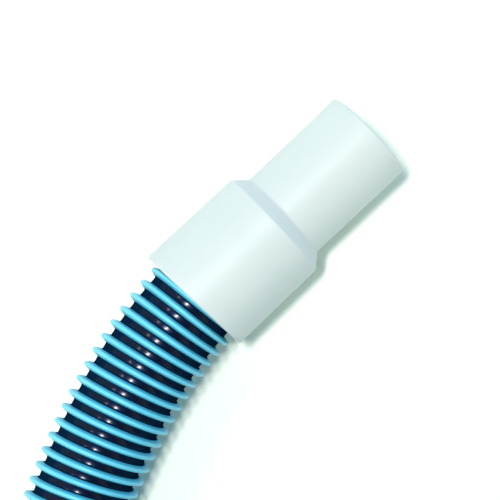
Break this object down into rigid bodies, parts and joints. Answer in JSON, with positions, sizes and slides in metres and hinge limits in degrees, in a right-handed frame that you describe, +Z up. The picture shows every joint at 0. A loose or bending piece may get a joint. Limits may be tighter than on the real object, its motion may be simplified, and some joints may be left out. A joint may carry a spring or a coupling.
{
  "type": "pool vacuum hose with swivel cuff",
  "caption": "Ribbed two-colour suction hose with a swivel cuff at one end and a fixed cuff at the other, its spare length coiled and strapped.",
  "frame": {"origin": "on the floor, under the middle of the swivel cuff", "axes": "+X along the swivel cuff's axis towards its mouth, +Z up, +Y to the left of +X"},
  "size_m": [0.6307, 0.7677, 0.1543],
  "materials": {
    "cuff_white": "satin moulded EVA, off-white with a faint green tint",
    "hose_rib": "satin light blue",
    "hose_wall": "glossy near-black navy",
    "seal_rubber": "matte",
    "ferrule_nylon": "smooth natural nylon",
    "strap_webbing": "woven hook-and-loop tape"
  },
  "bodies": {
    "hose": {"threaded_ferrule": "ferrule_nylon", "hose_end": "hose_wall", "hose_run": "hose_rib", "hose_coil": "hose_rib", "hose_tail": "hose_rib", "fixed_cuff": "cuff_white", "strap_1": "strap_webbing", "strap_2": "strap_webbing", "strap_3": "strap_webbing"},
    "swivel_cuff": {"swivel_cuff": "cuff_white", "swivel_washer": "seal_rubber"}
  },
  "joints": [
    {"name": "cuff_swivel", "type": "hinge", "parent": "hose", "child": "swivel_cuff", "pos_m": [0, 0, 0.0282], "axis": [1, 0, 0], "continuous": true}
  ]
}
